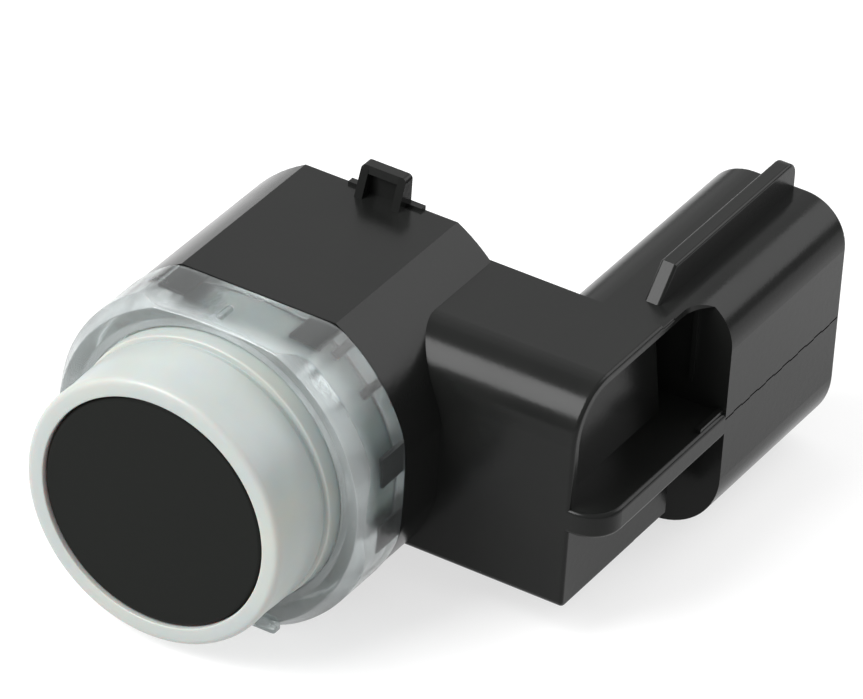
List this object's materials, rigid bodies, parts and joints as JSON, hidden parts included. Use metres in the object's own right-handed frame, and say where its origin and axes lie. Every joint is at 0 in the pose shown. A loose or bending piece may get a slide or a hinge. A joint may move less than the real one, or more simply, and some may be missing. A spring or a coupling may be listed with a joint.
{
  "type": "ultrasonic distance sensor",
  "caption": "Bumper-mounted ultrasonic distance sensor: round sensing face in a soft ring and clip-on collar, with an arm and a plug socket to one side.",
  "frame": {"origin": "centre of the membrane's front face", "axes": "-Y the way the sensor looks; +Y back along its axis towards the plug socket's mouth; +X towards the arm; +Z towards the latch"},
  "size_m": [0.0336, 0.0442, 0.0219],
  "materials": {
    "black_plastic": "satin moulded black plastic",
    "clear_plastic": "frosted translucent moulded plastic",
    "milky_silicone": "milky translucent silicone rubber",
    "painted_face": "satin near-black paint over aluminium",
    "piezo_ceramic": "fired ceramic with silvered faces",
    "foam": "closed-cell damping foam",
    "carrier_plastic": "natural nylon",
    "tinned_brass": "tin plated",
    "wire_insulation": "enamelled fine wire",
    "grey_silicone": "soft grey silicone",
    "board": "green solder mask",
    "chip_epoxy": "black moulding epoxy",
    "ferrite": "sintered ferrite",
    "copper_wire": "enamelled copper",
    "can_aluminium": "satin drawn can",
    "chip_ceramic": "fired ceramic with tinned ends",
    "resistor_body": "glazed thick film",
    "solder": "bright solder",
    "potting": "cured black potting resin"
  },
  "bodies": {
    "sensor": {"housing": "black_plastic", "membrane_cup": "painted_face", "piezo_disc": "piezo_ceramic", "damping_foam": "foam", "contact_carrier": "carrier_plastic", "contact_pin_positive": "tinned_brass", "contact_pin_ground": "tinned_brass", "piezo_lead_positive": "wire_insulation", "piezo_lead_ground": "wire_insulation", "rear_isolator": "grey_silicone", "circuit_board": "board", "potting_compound": "potting", "driver_chip": "chip_epoxy", "transformer_bobbin": "chip_epoxy", "transformer_core": "ferrite", "transformer_winding": "copper_wire", "capacitor_base": "chip_epoxy", "storage_capacitor": "can_aluminium", "ceramic_capacitors": "chip_ceramic", "resistors": "resistor_body", "solder_joints": "solder", "terminal_1": "tinned_brass", "terminal_2": "tinned_brass", "terminal_3": "tinned_brass", "terminal_4": "tinned_brass"},
    "collar": {"collar": "clear_plastic"},
    "decoupling_ring": {"decoupling_ring": "milky_silicone"}
  },
  "joints": [
    {"name": "collar_slide", "type": "slide", "parent": "sensor", "child": "collar", "axis": [0, -1, 0], "range_m": [0, 0.012]},
    {"name": "ring_slide", "type": "slide", "parent": "sensor", "child": "decoupling_ring", "axis": [0, -1, 0], "range_m": [0, 0.012]}
  ]
}
